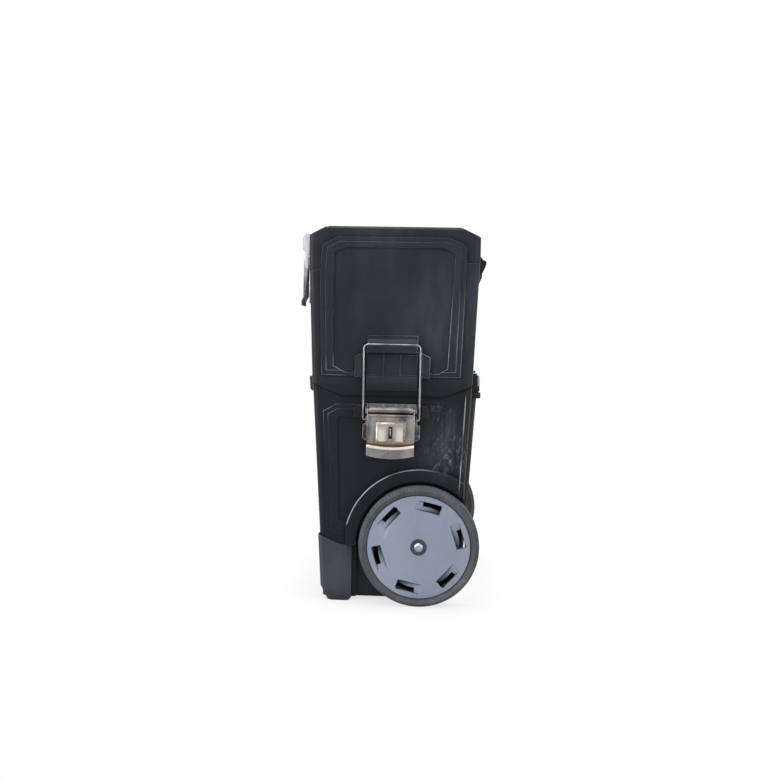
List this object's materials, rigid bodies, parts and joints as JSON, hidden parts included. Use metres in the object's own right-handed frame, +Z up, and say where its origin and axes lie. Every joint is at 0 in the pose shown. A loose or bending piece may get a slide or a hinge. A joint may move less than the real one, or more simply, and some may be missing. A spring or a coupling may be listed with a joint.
{
  "type": "two-tier rolling tool box",
  "caption": "Black plastic two-tier rolling tool box with a latched upper box, chrome draw latches, large rear wheels and a telescopic pull handle.",
  "frame": {"origin": "middle of the footprint at floor level", "axes": "+X to the right end, -Y to the front with the grab rail, +Z up"},
  "size_m": [0.492, 0.3138, 0.6305],
  "materials": {
    "box_plastic": "satin black polypropylene, fine grain",
    "foot_plastic": "satin black, scuffed",
    "bracket_plastic": "satin black",
    "grip_trim": "light grey satin",
    "tube_metal": "black anodised",
    "shaft_steel": "bright drawn steel",
    "cap_metal": "bright pressed cap",
    "hub_plastic": "grey satin",
    "tyre_rubber": "matt dark grey",
    "latch_chrome": "bright zinc and chrome plating"
  },
  "bodies": {
    "lower_bin": {"lower_bin": "box_plastic", "front_grab_rail": "box_plastic", "axle": "shaft_steel", "front_foot_left": "foot_plastic", "front_foot_right": "foot_plastic", "axle_cap_left": "cap_metal", "axle_cap_right": "cap_metal", "handle_outer_tube_left": "tube_metal", "handle_outer_tube_right": "tube_metal", "handle_collar_left": "bracket_plastic", "handle_collar_right": "bracket_plastic", "handle_shoe_left": "bracket_plastic", "handle_shoe_right": "bracket_plastic", "side_latch_base_left": "latch_chrome", "side_latch_base_right": "latch_chrome"},
    "wheel_left": {"wheel_hub_left": "hub_plastic", "tyre_left": "tyre_rubber"},
    "wheel_right": {"wheel_hub_right": "hub_plastic", "tyre_right": "tyre_rubber"},
    "handle_middle": {"handle_middle_tube_left": "tube_metal", "handle_middle_tube_right": "tube_metal"},
    "handle_inner": {"handle_inner_tube_left": "tube_metal", "handle_inner_tube_right": "tube_metal", "handle_grip": "box_plastic", "grip_insert": "grip_trim"},
    "release_button": {"release_button": "bracket_plastic"},
    "side_lever_left": {"side_latch_lever_left": "latch_chrome"},
    "side_lever_right": {"side_latch_lever_right": "latch_chrome"},
    "side_bail_left": {"side_latch_bail_left": "latch_chrome"},
    "side_bail_right": {"side_latch_bail_right": "latch_chrome"},
    "upper_box": {"upper_box": "box_plastic", "front_latch_base_left": "latch_chrome", "front_latch_base_right": "latch_chrome", "box_hinge_left": "box_plastic", "box_hinge_right": "box_plastic"},
    "lid": {"lid": "box_plastic", "lid_hinge_left": "box_plastic", "lid_hinge_right": "box_plastic"},
    "carry_handle": {"carry_handle": "box_plastic"},
    "front_lever_left": {"front_latch_lever_left": "latch_chrome"},
    "front_lever_right": {"front_latch_lever_right": "latch_chrome"},
    "front_claw_left": {"front_latch_claw_left": "latch_chrome"},
    "front_claw_right": {"front_latch_claw_right": "latch_chrome"}
  },
  "joints": [
    {"name": "wheel_left_spin", "type": "hinge", "parent": "lower_bin", "child": "wheel_left", "pos_m": [-0.223, 0.05545, 0.0995], "axis": [1, 0, 0], "continuous": true},
    {"name": "wheel_right_spin", "type": "hinge", "parent": "lower_bin", "child": "wheel_right", "pos_m": [0.223, 0.05545, 0.0995], "axis": [1, 0, 0], "continuous": true},
    {"name": "handle_middle_slide", "type": "slide", "parent": "lower_bin", "child": "handle_middle", "axis": [0, -0.061, -0.9981], "range_m": [-0.24, 0]},
    {"name": "handle_inner_slide", "type": "slide", "parent": "handle_middle", "child": "handle_inner", "axis": [0, -0.061, -0.9981], "range_m": [-0.24, 0]},
    {"name": "release_button_press", "type": "slide", "parent": "handle_inner", "child": "release_button", "axis": [0, 0, -1], "range_m": [0, 0.003], "stiffness_N_per_m": 400},
    {"name": "upper_box_lift", "type": "slide", "parent": "lower_bin", "child": "upper_box", "axis": [0, 0, 1], "range_m": [0, 0.13]},
    {"name": "side_lever_left_swing", "type": "hinge", "parent": "lower_bin", "child": "side_lever_left", "pos_m": [-0.229, 0.00515, 0.322], "axis": [0, 1, 0], "range_deg": [0, 150]},
    {"name": "side_bail_left_swing", "type": "hinge", "parent": "side_lever_left", "child": "side_bail_left", "pos_m": [-0.229, 0.00515, 0.307], "axis": [0, -1, 0], "range_deg": [0, 180]},
    {"name": "side_lever_right_swing", "type": "hinge", "parent": "lower_bin", "child": "side_lever_right", "pos_m": [0.229, 0.00515, 0.322], "axis": [0, -1, 0], "range_deg": [0, 150]},
    {"name": "side_bail_right_swing", "type": "hinge", "parent": "side_lever_right", "child": "side_bail_right", "pos_m": [0.229, 0.00515, 0.307], "axis": [0, 1, 0], "range_deg": [0, 180]},
    {"name": "lid_hinge", "type": "hinge", "parent": "upper_box", "child": "lid", "pos_m": [0, 0.15195, 0.571], "axis": [-1, 0, 0], "range_deg": [0, 100]},
    {"name": "front_lever_left_swing", "type": "hinge", "parent": "upper_box", "child": "front_lever_left", "pos_m": [-0.14, -0.14805, 0.572], "axis": [-1, 0, 0], "range_deg": [0, 110]},
    {"name": "front_claw_left_swing", "type": "hinge", "parent": "front_lever_left", "child": "front_claw_left", "pos_m": [-0.14, -0.14805, 0.561], "axis": [1, 0, 0], "range_deg": [0, 140]},
    {"name": "front_lever_right_swing", "type": "hinge", "parent": "upper_box", "child": "front_lever_right", "pos_m": [0.14, -0.14805, 0.572], "axis": [-1, 0, 0], "range_deg": [0, 110]},
    {"name": "front_claw_right_swing", "type": "hinge", "parent": "front_lever_right", "child": "front_claw_right", "pos_m": [0.14, -0.14805, 0.561], "axis": [1, 0, 0], "range_deg": [0, 140]},
    {"name": "carry_handle_hinge", "type": "hinge", "parent": "lid", "child": "carry_handle", "pos_m": [0, 0.02845, 0.6175], "axis": [-1, 0, 0], "range_deg": [0, 95]}
  ],
  "couplings": [
    {"joint": "side_lever_left_swing", "follows": "upper_box_lift", "rad_per_m": 20.138},
    {"joint": "side_bail_left_swing", "follows": "upper_box_lift", "rad_per_m": 24.166},
    {"joint": "side_lever_right_swing", "follows": "upper_box_lift", "rad_per_m": 20.138},
    {"joint": "side_bail_right_swing", "follows": "upper_box_lift", "rad_per_m": 24.166},
    {"joint": "front_lever_left_swing", "follows": "lid_hinge", "ratio": 1.1},
    {"joint": "front_claw_left_swing", "follows": "lid_hinge", "ratio": 1.4},
    {"joint": "front_lever_right_swing", "follows": "lid_hinge", "ratio": 1.1},
    {"joint": "front_claw_right_swing", "follows": "lid_hinge", "ratio": 1.4}
  ]
}
